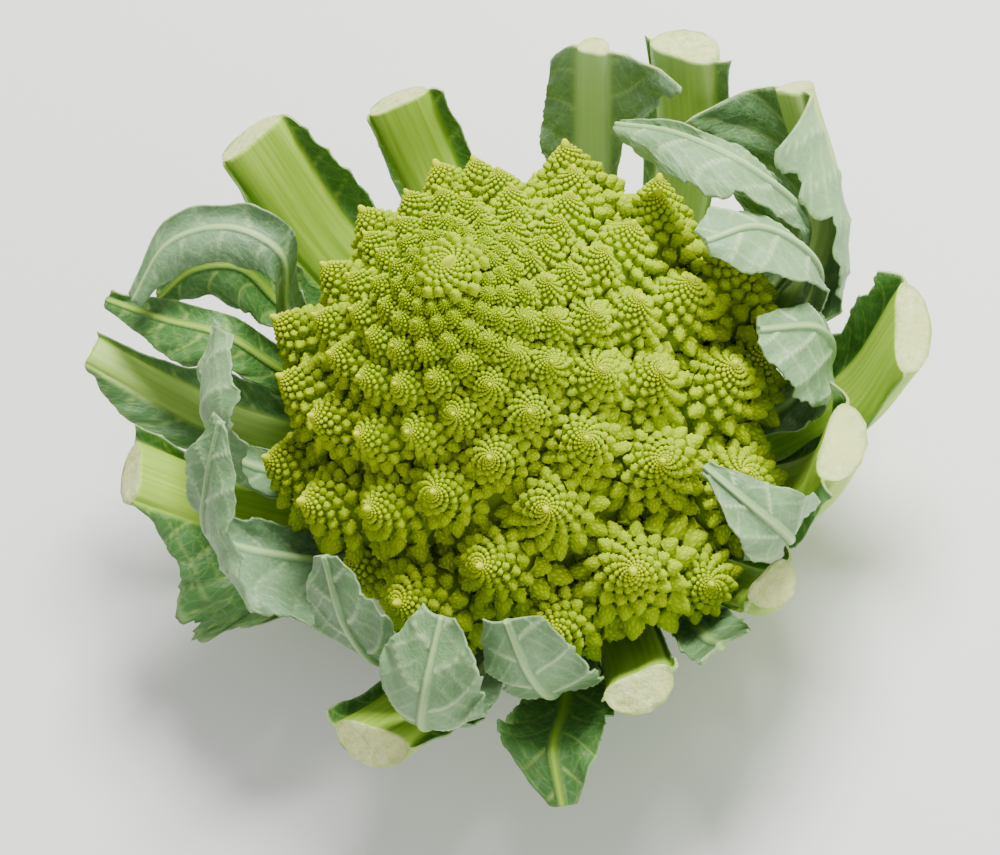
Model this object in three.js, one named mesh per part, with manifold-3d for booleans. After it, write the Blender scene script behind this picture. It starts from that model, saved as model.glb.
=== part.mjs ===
// A romanesco head as sold: one lime green curd of spiralling florets on its cut stalk, held in a cup of
// leaves whose thick ribs were sliced across. Millimetres, +Z up along the head's axis, the cut face of the
// stalk at z = 0 and its middle at the origin.
import * as THREE from "three";
import { ConvexHull } from "three/addons/math/ConvexHull.js";
import { mergeVertices } from "three/addons/utils/BufferGeometryUtils.js";
import Module from "manifold-3d";

const wasm = await Module();
wasm.setup();

// Driving dimensions of the curd
const RIM_RADIUS = 76; // of the ring that the tips of the lowest visible florets reach
const RIM_HEIGHT = 76; // of that ring above the cut face
const DOME_HEIGHT = 65; // from that ring to the tip of the head
const DOME_POWER = 1.39; // 1 is a straight cone, 2 a parabola
const DIVERGENCE = THREE.MathUtils.degToRad(137.57); // turn from each floret to the next
const FIRST_ANGLE = THREE.MathUtils.degToRad(218.6); // where floret 0 stands, on the rim
const GROWTH = 0.0183; // each floret stands this share closer to the tip than the one before
const UNDER_RIM_COUNT = 12; // florets below floret 0, tucked under the rim
const FLORET_COUNT = 84; // florets from the rim upwards: the rest are the crown's own bumps
const CROWN_BUMPS = 40;
const FLORET_SHARE = 0.205; // a floret's radius as a share of its distance from the axis
const FLORET_SLIMNESS = 1.65; // a floret's height over its radius
const FLORET_TILT = 0.72; // how far florets lean outwards, as the tangent of the angle from the axis
const BACKWARD_LEAN = 0.12; // the whole head's florets lean this much towards +Y
const BULGE = 0.11; // the lowest florets reach this share further out on one side
const BULGE_ANGLE = THREE.MathUtils.degToRad(272); // which side that is

// Driving dimensions of the stalk and the leaves
const STALK_RADIUS = 21;
const STALK_HEIGHT = 35;
const GAP = 0.35; // between neighbouring pieces
const BLADE = 1.1; // thickness of a leaf's blade
const RIPPLE = 1.3; // how far a blade's margin waves off its even surface

const deg = THREE.MathUtils.degToRad;

// Where floret tips stand: s is 1 on the rim, 0 at the tip of the head and above 1 under the rim
function domePoint(s, angle) {
  const under = Math.max(0, s - 1);
  const bulge = BULGE * s ** 4 * Math.max(0, Math.cos(angle - BULGE_ANGLE)) ** 8;
  const reach = RIM_RADIUS * (Math.min(s, 1) - 0.35 * under + bulge);
  const rise = under ? -1.2 * under : 1 - s ** DOME_POWER;
  return new THREE.Vector3(reach * Math.cos(angle), reach * Math.sin(angle), RIM_HEIGHT + DOME_HEIGHT * rise);
}

// The axis that a floret points along
function floretAxis(s, angle) {
  const lean = FLORET_TILT * Math.min(1, s / 0.45) + 1.6 * Math.max(0, s - 1);
  return new THREE.Vector3(lean * Math.cos(angle), lean * Math.sin(angle) + BACKWARD_LEAN * s, 1).normalize();
}

// The faces of the convex hull of points, as corner numbers, with the number of the face across each edge
function hullFaces(points) {
  const hull = new ConvexHull().setFromPoints(points);
  const numberOf = new Map(points.map((p, i) => [p, i]));
  const faceNumber = new Map(hull.faces.map((f, i) => [f, i]));
  return hull.faces.map((face) => {
    const edges = [face.edge, face.edge.next, face.edge.next.next];
    return {
      corners: edges.map((e) => numberOf.get(e.tail().point)),
      across: edges.map((e) => faceNumber.get(e.twin.face)),
    };
  });
}

const WIDEST_POLAR = deg(125); // where a body's lowest bumps stand on the sphere that lays out its faces

// A closed body covered in pointed bumps that spiral from its foot to its tip at +Z. peak(s, angle) gives
// the point of a bump and valley(s, angle) the surface it stands on, for shares s that shrink by growth
// from one bump to the next. Each bump is a pyramid between the low points of the triangles that meet at it.
function bumpyBody({ bumps, start, growth, turn, hand, peak, valley, tip, foot }) {
  const onSphere = [];
  const low = [];
  const points = [];
  for (let i = 0; i < bumps; i++) {
    const s = start * Math.exp(-growth * i);
    const angle = turn + hand * DIVERGENCE * i;
    const polar = (s / start) * WIDEST_POLAR;
    onSphere.push(
      new THREE.Vector3(Math.cos(angle) * Math.sin(polar), Math.sin(angle) * Math.sin(polar), Math.cos(polar)),
    );
    low.push(valley(s, angle));
    points.push(peak(s, angle));
  }
  onSphere.push(new THREE.Vector3(0, 0, 1), new THREE.Vector3(0, 0, -1));
  low.push(tip, foot);
  points.push(tip, foot);
  const bottom = bumps + 1;

  const faces = hullFaces(onSphere);
  const lowPoint = faces.map(({ corners }) => {
    if (corners.includes(bottom)) return -1;
    const middle = new THREE.Vector3();
    corners.forEach((c) => middle.addScaledVector(low[c], 1 / 3));
    points.push(middle);
    return points.length - 1;
  });
  const triangles = [];
  faces.forEach(({ corners, across }, f) => {
    if (lowPoint[f] < 0) {
      triangles.push(...corners);
      return;
    }
    corners.forEach((c, e) => {
      const next = corners[(e + 1) % 3];
      const other = lowPoint[across[e]];
      triangles.push(...(other < 0 ? [c, next, lowPoint[f]] : [c, other, lowPoint[f]]));
    });
  });
  const geometry = new THREE.BufferGeometry().setFromPoints(points);
  geometry.setIndex(triangles);
  return geometry;
}
// A closed geometry, in place, as a manifold-3d solid
function solidOf(geometry, matrix = new THREE.Matrix4()) {
  const bare = new THREE.BufferGeometry();
  bare.setAttribute("position", geometry.getAttribute("position").clone());
  bare.setIndex(geometry.getIndex());
  const merged = mergeVertices(bare.applyMatrix4(matrix), 1e-4);
  return new wasm.Manifold(
    new wasm.Mesh({
      numProp: 3,
      vertProperties: merged.attributes.position.array,
      triVerts: new Uint32Array(merged.index.array),
    }),
  );
}

// A manifold-3d solid as a three.js geometry
function geometryOf(solid) {
  const { numProp, numVert, vertProperties, triVerts } = solid.getMesh();
  const positions = new Float32Array(numVert * 3);
  for (let i = 0; i < numVert; i++) {
    positions.set(vertProperties.subarray(i * numProp, i * numProp + 3), i * 3);
  }
  const geometry = new THREE.BufferGeometry();
  geometry.setAttribute("position", new THREE.BufferAttribute(positions, 3));
  geometry.setIndex(new THREE.BufferAttribute(triVerts, 1));
  geometry.computeVertexNormals();
  return geometry;
}

// The largest body of a solid: loose scraps are dropped
function largestBody(solid) {
  return solid.decompose().reduce((a, b) => (b.volume() > a.volume() ? b : a));
}

// How many bumps a floret carries: fewer where it is small
function bumpsAt(s) {
  if (s > 0.6) return 13;
  return s > 0.4 ? 8 : 5;
}

function floret(m) {
  const s = Math.exp(-GROWTH * m);
  const angle = FIRST_ANGLE + DIVERGENCE * m;
  const radius = FLORET_SHARE * RIM_RADIUS * Math.min(s, 1 - 1.2 * (s - 1));
  const height = FLORET_SLIMNESS * radius;
  const bumps = bumpsAt(s);
  const valley = (t, around) => {
    const reach = radius * Math.min(t, 1);
    return new THREE.Vector3(reach * Math.cos(around), reach * Math.sin(around), height * (1 - t ** 1.15));
  };
  const peak = (t, around) => {
    const out = new THREE.Vector3(0.8 * Math.cos(around), 0.8 * Math.sin(around), 0.6);
    return valley(t, around).addScaledVector(out, 0.27 * radius * Math.min(t, 1));
  };
  const geometry = bumpyBody({
    bumps,
    start: 1.15,
    growth: Math.log(2.8) / bumps,
    turn: m,
    hand: m % 2 ? 1 : -1,
    peak,
    valley,
    tip: new THREE.Vector3(0, 0, height),
    foot: new THREE.Vector3(0, 0, -0.3 * height),
  });
  const axis = floretAxis(s, angle);
  const base = domePoint(s, angle).addScaledVector(axis, -height);
  const turn = new THREE.Quaternion().setFromUnitVectors(new THREE.Vector3(0, 0, 1), axis);
  return solidOf(geometry, new THREE.Matrix4().compose(base, turn, new THREE.Vector3(1, 1, 1)));
}

// The solid heart that the florets stand on, narrowing below to meet the stalk
function heart() {
  const profile = [new THREE.Vector2(0, STALK_HEIGHT + GAP)];
  profile.push(new THREE.Vector2(STALK_RADIUS * 0.8, STALK_HEIGHT + GAP));
  profile.push(new THREE.Vector2(44, 46));
  for (let s = 1; s > 0.2; s -= 0.2) {
    const depth = FLORET_SLIMNESS * FLORET_SHARE * RIM_RADIUS * s;
    const point = domePoint(s, 0).addScaledVector(floretAxis(s, 0), -depth);
    profile.push(new THREE.Vector2(point.x, point.z));
  }
  profile.push(new THREE.Vector2(0, RIM_HEIGHT + DOME_HEIGHT * 0.8));
  return solidOf(new THREE.LatheGeometry(profile, 20).rotateX(Math.PI / 2));
}

// The smallest florets round the tip of the head, as the bumps of one pointed crown
function crown() {
  const start = Math.exp(-GROWTH * FLORET_COUNT);
  const valley = (s, angle) => domePoint(s, angle).addScaledVector(floretAxis(s, angle), -0.3 * RIM_RADIUS * s);
  const geometry = bumpyBody({
    bumps: CROWN_BUMPS,
    start,
    growth: 2 * GROWTH,
    turn: FIRST_ANGLE + DIVERGENCE * FLORET_COUNT,
    hand: 1,
    peak: domePoint,
    valley,
    tip: new THREE.Vector3(0, 0, RIM_HEIGHT + DOME_HEIGHT + 1),
    foot: new THREE.Vector3(0, 0, RIM_HEIGHT + DOME_HEIGHT * 0.6),
  });
  return solidOf(geometry);
}

function curdSolid() {
  const pieces = [heart(), crown()];
  for (let m = -UNDER_RIM_COUNT; m < FLORET_COUNT; m++) {
    pieces.push(floret(m));
  }
  return largestBody(wasm.Manifold.union(pieces));
}

// The cut stalk: a round stump, flat below
function stalkSolid() {
  const profile = [
    [0, 0],
    [STALK_RADIUS - 1.5, 0],
    [STALK_RADIUS, 2],
    [STALK_RADIUS, STALK_HEIGHT - 4],
    [STALK_RADIUS * 0.8, STALK_HEIGHT],
    [0, STALK_HEIGHT],
  ];
  const points = profile.map(([x, y]) => new THREE.Vector2(x, y));
  return solidOf(new THREE.LatheGeometry(points, 28).rotateX(Math.PI / 2));
}

// The leaves. Each place is [azimuth in degrees, distance from the axis, height]. The rib runs along spine,
// from inside the stalk to its cut or its tip, width wide and depth thick at its foot and then at its end.
// left and right are the blade's two margins, from the foot to the rib's end: left is on the
// counterclockwise side, seen from above. slant is how much further out the left side of a cut is, per
// millimetre across it.
const LEAVES = {
  cut_leaf_1: {
    spine: [[52, 17, 16], [51, 56, 25], [50, 84, 56], [47.5, 99, 87]],
    width: [10, 9], depth: [6, 7],
    left: [[58, 62, 32], [61, 84, 56], [56, 97, 79]],
    right: [[47, 62, 32], [43, 84, 60], [28, 94, 89]],
  },
  cut_leaf_2: {
    spine: [[34, 17, 8], [33, 56, 17], [33, 90, 50], [34, 107, 83]],
    width: [13, 21], depth: [6, 14],
    left: [[40, 60, 20], [42, 92, 52], [39, 111, 93]],
    right: [[27, 60, 20], [26, 92, 52], [25, 109, 87]],
  },
  cut_leaf_3: {
    spine: [[352, 17, 16], [355, 58, 23], [3, 98, 52], [15.5, 113, 83]],
    width: [12, 11], depth: [6, 9],
    left: [[3, 60, 26], [20, 88, 56], [27, 88, 80]],
    right: [[349, 62, 28], [346, 95, 62], [6, 94, 90]],
  },
  cut_leaf_4: {
    spine: [[330, 17, 8], [330, 56, 15], [331, 91, 42], [335, 112, 68]],
    width: [11, 27], depth: [6, 11],
    left: [[338, 60, 20], [343, 92, 53], [343, 107, 75]],
    right: [[322, 58, 17], [322, 92, 42], [328, 109, 64]],
    slant: 0.25,
  },
  cut_leaf_5: {
    spine: [[312, 17, 16], [312, 56, 24], [312, 84, 45], [314, 98, 73]],
    width: [12, 27], depth: [6, 12],
    left: [[318, 60, 26], [322, 89, 54], [322, 94, 77]],
    right: [[306, 58, 25], [300, 86, 40], [306, 101, 67]],
    slant: -0.2,
  },
  cut_leaf_6: {
    spine: [[293, 17, 8], [291, 56, 15], [290, 86, 40], [289, 101, 68]],
    width: [11, 15], depth: [6, 10],
    left: [[298, 60, 18], [296, 86, 42], [295, 99, 70]],
    right: [[286, 58, 17], [286, 88, 42], [285, 99, 66]],
  },
  cut_leaf_7: {
    spine: [[278, 17, 23], [278, 62, 27], [277, 90, 46], [277, 105, 66]],
    width: [6, 3], depth: [5, 2],
    left: [[284, 67, 27], [283, 99, 54], [281, 111, 72]],
    right: [[273, 62, 29], [272, 96, 55], [273, 107, 67]],
  },
  cut_leaf_8: {
    spine: [[264, 17, 16], [263, 56, 22], [263, 85, 40], [263, 100, 61]],
    width: [13, 20], depth: [6, 11],
    left: [[269, 58, 24], [269, 86, 42], [270, 98, 62]],
    right: [[257, 58, 22], [256, 88, 40], [258, 99, 58]],
  },
  cut_leaf_9: {
    spine: [[246, 17, 8], [247, 56, 14], [247, 86, 32], [247, 107, 49], [247, 120, 42]],
    width: [7, 3], depth: [5, 2],
    left: [[253, 60, 17], [257, 88, 34], [254, 109, 51], [249, 120, 42]],
    right: [[241, 58, 17], [238, 86, 36], [238, 100, 52], [245, 119, 42]],
  },
  cut_leaf_10: {
    spine: [[220, 17, 16], [219, 56, 22], [220, 89, 38], [220, 109, 57]],
    width: [13, 23], depth: [6, 12],
    left: [[227, 58, 22], [233, 88, 36], [228, 102, 51]],
    right: [[211, 58, 24], [212, 90, 42], [212, 107, 60]],
  },
  cut_leaf_11: {
    spine: [[170, 17, 8], [167, 56, 15], [163, 90, 40], [160, 114, 66]],
    width: [13, 20], depth: [6, 11],
    left: [[174, 58, 15], [181, 96, 30], [181, 118, 38], [172, 112, 50], [166, 112, 62]],
    right: [[160, 58, 18], [158, 90, 42], [153, 112, 70]],
  },
  cut_leaf_12: {
    spine: [[146, 17, 16], [147, 56, 23], [146, 94, 44], [141, 131, 66]],
    width: [11, 9], depth: [6, 6],
    left: [[153, 58, 25], [153, 92, 47], [149, 122, 56], [143, 131, 64]],
    right: [[142, 60, 25], [140, 94, 52], [138, 122, 64], [139, 131, 67]],
  },
  cut_leaf_13: {
    spine: [[107, 17, 8], [108, 56, 17], [108, 90, 50], [106, 112, 83]],
    width: [13, 21], depth: [6, 11],
    left: [[116, 58, 20], [119, 86, 50], [112, 106, 74]],
    right: [[100, 60, 20], [96, 88, 56], [99, 106, 80]],
  },
  cut_leaf_14: {
    spine: [[88, 17, 16], [86, 56, 24], [84, 86, 52], [83.5, 100, 74]],
    width: [11, 18], depth: [6, 10],
    left: [[93, 58, 26], [91, 87, 54], [89, 99, 74]],
    right: [[79, 58, 26], [75, 86, 52], [76, 97, 76]],
  },
  wrapper_leaf_1: {
    spine: [[6, 17, 29], [4, 62, 29], [359, 92, 64], [2, 86, 98], [16, 76, 105], [31, 70, 102]],
    width: [5, 2], depth: [4, 2],
    left: [[9, 62, 31], [6, 90, 66], [11, 86, 99], [20, 77, 107], [31, 71, 103]],
    right: [[359, 62, 31], [355, 90, 70], [354, 82, 101], [3, 68, 106], [27, 68, 101]],
  },
  wrapper_leaf_2: {
    spine: [[332, 17, 29], [333, 62, 29], [335, 88, 58], [334, 88, 78], [330, 75, 90]],
    width: [5, 2], depth: [4, 2],
    left: [[338, 62, 31], [341, 87, 60], [339, 86, 78], [333, 75, 91]],
    right: [[328, 62, 31], [322, 88, 60], [320, 84, 80], [327, 75, 90]],
  },
  wrapper_leaf_3: {
    spine: [[298, 17, 29], [298, 62, 29], [297, 88, 62], [295, 102, 79], [294, 95, 93], [295, 78, 97]],
    width: [5, 2], depth: [4, 2],
    left: [[303, 62, 31], [304, 90, 60], [303, 103, 80], [299, 94, 93], [296, 79, 98]],
    right: [[293, 62, 30], [291, 90, 62], [288, 99, 85], [289, 94, 94], [294, 79, 97]],
  },
  wrapper_leaf_4: {
    spine: [[247, 17, 29], [247, 62, 28], [248, 92, 56], [247, 93, 76], [246, 85, 90]],
    width: [5, 2], depth: [4, 2],
    left: [[253, 62, 30], [258, 94, 60], [257, 95, 78], [253, 87, 91]],
    right: [[241, 62, 30], [240, 88, 54], [239, 89, 74], [241, 83, 89]],
  },
  wrapper_leaf_5: {
    spine: [[232, 17, 23], [232, 56, 28], [230, 91, 51], [229, 105, 65], [231, 102, 80], [234, 84, 93]],
    width: [5, 2], depth: [4, 2],
    left: [[237, 56, 30], [237, 90, 50], [239, 101, 68], [241, 99, 83], [237, 85, 94]],
    right: [[227, 56, 30], [224, 90, 50], [222, 98, 68], [223, 94, 86], [230, 81, 94]],
  },
  wrapper_leaf_6: {
    spine: [[213, 17, 29], [213, 62, 29], [215, 87, 57], [212, 87, 78], [206, 77, 94]],
    width: [5, 2], depth: [4, 2],
    left: [[218, 62, 31], [222, 87, 58], [220, 82, 86], [209, 76, 96]],
    right: [[208, 62, 31], [206, 87, 58], [203, 88, 76], [203, 79, 92]],
  },
  wrapper_leaf_7: {
    spine: [[181, 17, 29], [181, 62, 29], [180, 84, 52], [176, 96, 68], [173, 89, 86], [166, 79, 97]],
    width: [5, 2], depth: [4, 2],
    left: [[188, 62, 30], [200, 88, 56], [190, 97, 66], [180, 84, 86], [169, 78, 98]],
    right: [[175, 62, 30], [174, 82, 60], [171, 97, 72], [168, 94, 88], [163, 81, 97]],
  },
  wrapper_leaf_8: {
    spine: [[156, 17, 29], [156, 56, 31], [158, 86, 54], [153, 89, 76], [140, 85, 86]],
    width: [5, 2], depth: [4, 2],
    left: [[162, 56, 33], [168, 80, 58], [162, 76, 88], [143, 78, 90]],
    right: [[151, 56, 33], [154, 88, 58], [148, 92, 76], [138, 88, 84]],
  },
  wrapper_leaf_9: {
    spine: [[120, 17, 23], [122, 56, 28], [124, 84, 56], [124, 94, 73], [128, 104, 77], [133, 113, 72]],
    width: [5, 2], depth: [4, 2],
    left: [[125, 60, 31], [130, 82, 58], [131, 88, 67], [130, 98, 70], [133, 111, 70]],
    right: [[117, 56, 30], [116, 84, 58], [119, 90, 77], [124, 104, 81], [132, 114, 74]],
  },
  wrapper_leaf_10: {
    spine: [[349, 17, 24], [347, 60, 31], [347, 88, 63], [347, 90, 84], [349, 80, 101], [346, 66, 109]],
    width: [4, 2], depth: [4, 2],
    left: [[349, 60, 33], [351, 88, 64], [352, 86, 88], [356, 72, 105], [349, 64, 111]],
    right: [[344, 60, 33], [343, 89, 63], [341, 91, 82], [338, 78, 101], [343, 66, 107]],
  },
  wrapper_leaf_11: {
    spine: [[130, 17, 29], [130, 60, 31], [128, 77, 62], [121, 78, 86], [122, 92, 92], [128, 107, 91], [137, 114, 84]],
    width: [4, 2], depth: [4, 2],
    left: [[132, 60, 33], [131, 77, 63], [127, 76, 82], [127, 87, 87], [131, 102, 86], [137, 113, 83]],
    right: [[128, 60, 34], [122, 76, 68], [115, 78, 88], [118, 94, 95], [125, 110, 94], [136, 116, 85]],
  },
  wrapper_leaf_12: {
    spine: [[141, 17, 22], [137, 62, 30], [138, 78, 58], [138, 88, 74], [137, 107, 75], [135, 128, 73]],
    width: [4, 2], depth: [4, 2],
    left: [[139, 62, 32], [144, 78, 60], [144, 88, 72], [144, 100, 72], [139, 116, 73], [136, 128, 72]],
    right: [[135, 62, 32], [134, 78, 62], [134, 88, 75], [134, 110, 77], [134.5, 127, 75]],
  },
};

// A head place [azimuth, distance, height] as a point
function place([azimuth, distance, height]) {
  return new THREE.Vector3(distance * Math.cos(deg(azimuth)), distance * Math.sin(deg(azimuth)), height);
}

const curveThrough = (places) => new THREE.CatmullRomCurve3(places.map(place), false, "centripetal");

// Rib points with the directions along the rib, to its left and out of its inner face
function ribFrames(spine, steps) {
  const curve = curveThrough(spine);
  const [azimuth] = spine[0];
  let left = new THREE.Vector3(-Math.sin(deg(azimuth)), Math.cos(deg(azimuth)), 0);
  return Array.from({ length: steps + 1 }, (_, i) => {
    const point = curve.getPoint(i / steps);
    const along = curve.getTangent(i / steps);
    left = left.clone().addScaledVector(along, -left.dot(along)).normalize();
    return { point, along, left, inner: new THREE.Vector3().crossVectors(along, left) };
  });
}

const RIB_ACROSS = [-1, -0.6, 0, 0.6, 1]; // stations across a thick rib, as shares of its half width
const SLIM_RIB_ACROSS = [-1, 0, 1];
const SLIM_RIB = 4; // a rib whose end is no wider than this is slim
const BLADE_ACROSS = [0.5, 1]; // stations across each blade, from the rib's edge to the margin
const ROWS = 8; // steps along a leaf

const LEAST_BLADE = 1.2; // a margin stands out from its rib by at least this much

// The middle surface of a leaf and its thickness, as a grid of rows along the rib. At its foot the blade
// narrows to almost nothing.
function leafGrid({ spine, width, depth, left, right, slant = 0 }, phase) {
  const margins = { "-1": curveThrough([spine[0], ...right]), 1: curveThrough([spine[0], ...left]) };
  const acrossRib = width[1] > SLIM_RIB ? RIB_ACROSS : SLIM_RIB_ACROSS;
  return ribFrames(spine, ROWS).map(({ point, along, left: side, inner }, i) => {
    const t = i / ROWS;
    const half = THREE.MathUtils.lerp(width[0], width[1], t) / 2;
    const thick = THREE.MathUtils.lerp(depth[0], depth[1], t);
    const rib = acrossRib.map((a) => {
      const cut = t === 1 ? slant * half * a : 0;
      const round = Math.sqrt(1 - a * a);
      const at = point.clone().addScaledVector(side, half * a).addScaledVector(along, cut);
      return { at, above: BLADE / 2 + 0.3 * thick * round, below: BLADE / 2 + 0.7 * thick * round };
    });
    const blade = (sign) => {
      const edge = rib[sign < 0 ? 0 : rib.length - 1].at;
      const margin = margins[sign].getPoint(t).lerp(edge, 0.85 * Math.max(0, 1 - 4 * t));
      const out = sign * margin.clone().sub(edge).dot(side);
      margin.addScaledVector(side, sign * Math.max(0, LEAST_BLADE - out));
      const ahead = margin.clone().sub(edge).dot(along);
      const wide = Math.sqrt(edge.distanceToSquared(margin) - ahead ** 2);
      margin.addScaledVector(along, THREE.MathUtils.clamp(ahead, -wide, wide) - ahead);
      const bulge = Math.min(0.5, 1.5 * t) * wide;
      const ripple = Math.min(RIPPLE, 0.08 * wide) * Math.sin(Math.PI * 1.1 * i + phase + sign);
      const bend = edge.clone().addScaledVector(side, sign * bulge);
      return BLADE_ACROSS.map((a) => {
        const at = edge.clone().multiplyScalar((1 - a) ** 2);
        at.addScaledVector(bend, 2 * a * (1 - a)).addScaledVector(margin, a * a);
        at.addScaledVector(inner, ripple * a * a);
        return { at, above: BLADE / 2, below: BLADE / 2 };
      });
    };
    return [...blade(-1).reverse(), ...rib, ...blade(1)];
  });
}

// A leaf as one closed body: its middle surface thickened to both sides, split into triangles alike
function leafGeometry(grid) {
  const rows = grid.length;
  const columns = grid[0].length;
  const faceOf = (side) =>
    grid.flatMap((row, i) =>
      row.map(({ at, above, below }, j) => {
        const along = grid[Math.min(i + 1, rows - 1)][j].at.clone().sub(grid[Math.max(i - 1, 0)][j].at);
        const across = row[Math.min(j + 1, columns - 1)].at.clone().sub(row[Math.max(j - 1, 0)].at);
        const normal = along.cross(across).normalize();
        return at.clone().addScaledVector(normal, side > 0 ? above : -below);
      }),
    );
  const points = [...faceOf(1), ...faceOf(-1)];
  const top = (i, j) => i * columns + j;
  const bottom = (i, j) => rows * columns + top(i, j);
  const triangles = [];
  const wall = (i, j, k, l) => {
    triangles.push(top(i, j), bottom(i, j), bottom(k, l), top(i, j), bottom(k, l), top(k, l));
  };
  for (let i = 0; i + 1 < rows; i++) {
    for (let j = 0; j + 1 < columns; j++) {
      triangles.push(top(i, j), top(i + 1, j), top(i + 1, j + 1), top(i, j), top(i + 1, j + 1), top(i, j + 1));
      triangles.push(bottom(i, j), bottom(i + 1, j + 1), bottom(i + 1, j));
      triangles.push(bottom(i, j), bottom(i, j + 1), bottom(i + 1, j + 1));
    }
    wall(i, 0, i + 1, 0);
    wall(i + 1, columns - 1, i, columns - 1);
  }
  for (let j = 0; j + 1 < columns; j++) {
    wall(0, j + 1, 0, j);
    wall(rows - 1, j, rows - 1, j + 1);
  }
  const geometry = new THREE.BufferGeometry().setFromPoints(points);
  geometry.setIndex(triangles);
  return geometry;
}

// What the leaves leave room for: the stalk, a little wider and higher than it is
function stalkRoom() {
  const radius = STALK_RADIUS + GAP;
  return solidOf(
    new THREE.CylinderGeometry(radius, radius, 2 * STALK_HEIGHT, 28).rotateX(Math.PI / 2),
  );
}

const CURD = new THREE.MeshStandardMaterial({ color: "#a9bf2c", roughness: 0.6, metalness: 0 });
const STALK = new THREE.MeshStandardMaterial({ color: "#c5d49a", roughness: 0.6, metalness: 0 });
const LEAF = new THREE.MeshStandardMaterial({ color: "#7fa07a", roughness: 0.55, metalness: 0 });
const group = new THREE.Group();

function addNode(name, solid, material) {
  const mesh = new THREE.Mesh(geometryOf(solid), material);
  mesh.name = name;
  group.add(mesh);
}

addNode("curd", curdSolid(), CURD);
addNode("stalk", stalkSolid(), STALK);
const room = stalkRoom();
Object.entries(LEAVES).forEach(([name, leaf], i) => {
  const solid = solidOf(leafGeometry(leafGrid(leaf, i))).subtract(room);
  addNode(name, largestBody(solid), LEAF);
});

export default group;
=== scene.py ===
import math
from typing import NamedTuple

import bmesh
import bpy
import numpy as np
from mathutils import Matrix, Vector


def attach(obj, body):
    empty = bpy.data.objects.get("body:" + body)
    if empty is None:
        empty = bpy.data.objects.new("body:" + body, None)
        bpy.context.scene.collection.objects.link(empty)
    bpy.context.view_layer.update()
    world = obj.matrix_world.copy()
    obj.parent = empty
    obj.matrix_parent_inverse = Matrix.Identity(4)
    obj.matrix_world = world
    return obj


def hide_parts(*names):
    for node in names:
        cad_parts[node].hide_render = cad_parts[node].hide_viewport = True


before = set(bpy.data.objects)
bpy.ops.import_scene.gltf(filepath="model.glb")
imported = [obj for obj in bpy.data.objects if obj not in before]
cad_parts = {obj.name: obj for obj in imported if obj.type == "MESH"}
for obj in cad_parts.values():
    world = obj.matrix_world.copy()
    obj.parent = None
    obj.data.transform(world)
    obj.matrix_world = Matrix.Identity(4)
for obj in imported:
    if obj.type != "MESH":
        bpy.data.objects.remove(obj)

# Looks for a romanesco head: florets whose bumps come in five sizes, the larger ones covered in grains, and
# leaves with veins, waves, torn margins and fibrous cuts. Lengths are in millimetres until a mesh is made, in
# the same frame as the solids.
MM = 0.001
FULL_TURN = 2 * math.pi
RNG = np.random.default_rng(7)
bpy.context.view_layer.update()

# The curd's spiral, as the solids have it. A floret's place s is 1 on the rim and 0 at the tip of the head
RIM_RADIUS = 76.0  # of the ring that the tips of the lowest visible florets reach
RIM_HEIGHT = 76.0
DOME_HEIGHT = 65.0
DOME_POWER = 1.39
DIVERGENCE = math.radians(137.57)
FIRST_ANGLE = math.radians(218.6)
GROWTH = 0.0183
UNDER_RIM_COUNT = 12
UNDER_RIM_DRAWN_IN = 0.35
UNDER_RIM_DROP = 1.2
UNDER_RIM_LEAN = 1.6
UNDER_RIM_SHRINK = 1.2
FLORET_SHARE = 0.205
FLORET_SLIMNESS = 1.65
FLORET_TILT = 0.72
FULL_TILT_FROM = 0.45  # florets nearer the tip of the head lean less and less
BACKWARD_LEAN = 0.12
BULGE = 0.11
BULGE_ANGLE = math.radians(272)
LAST_FLORET = 200
STALK_RADIUS = 21.0
STALK_HEIGHT = 35.0

# Bumps on a floret, which are small florets again. A bump's place t is 1 at the floret's foot, 0 at its tip
BUMP_GROWTH = 0.021
BUMP_SHARE = 0.235  # a bump's radius to its distance from the floret's axis
BUMP_START = 1.2
BUMP_REACH = 0.96  # how far out the lowest bumps start, to the floret's radius
BUMP_TILT = (48, 84)  # degrees between a bump and the floret's axis, at the tip and at the foot
BUMP_STRETCH = (0.85, 1.2)  # a bump's length to its shape's, at the tip and at the foot
BUMP_LIFT = 0.25  # a bump's widest part stands out of the cone by this share of its radius
LEAST_BUMPS = 6
SMALLEST_BUMP = 0.2  # radius in mm below which a floret's bumps stop
FADE_FROM = 0.35  # bumps nearer the tip than this get the tip's colour more and more
TIP_SHARE = 0.1  # the smooth knob at a floret's tip, to its radius
CORE_SHARE = 0.9  # the smooth cone under the bumps, to the floret's radius
CONE_POWER = 1.25  # a floret's sides are straight at 1 and rounder above
FOOT_DEPTH = 0.3  # how far under its foot a floret reaches, to its height
LOWEST_BUMP = RIM_HEIGHT - 32  # leaves hide what is lower
SMALLEST_FLORET = 2.0  # radius in mm below which a floret is a single grained bead
BEAD_LEVEL = 0.35  # where such a bead sits, to the floret's height
BEAD_SIZE = 1.02  # its radius, to the floret's
BEAD_PLACE = 0.6  # the t that sets its length and colour
PIECE_FACES = 170000  # a piece of the curd is closed once it holds more faces than this

# Growth is never quite even: factors for sizes, and lengths added at random to unit directions
RADIUS_SCATTER = (0.94, 1.06)
HEIGHT_SCATTER = (0.95, 1.03)
AXIS_SCATTER = 0.045
BUMP_SCATTER = (0.92, 1.08)
BUMP_AXIS_SCATTER = 0.05


def unit(v):
    return v / np.maximum(np.linalg.norm(v, axis=-1, keepdims=True), 1e-12)


def lerp(ends, t):
    return ends[0] + (ends[1] - ends[0]) * t


def ring(angle):
    """Unit vectors that point out at these angles."""
    return ring_at(angle, 1, 0)


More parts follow.
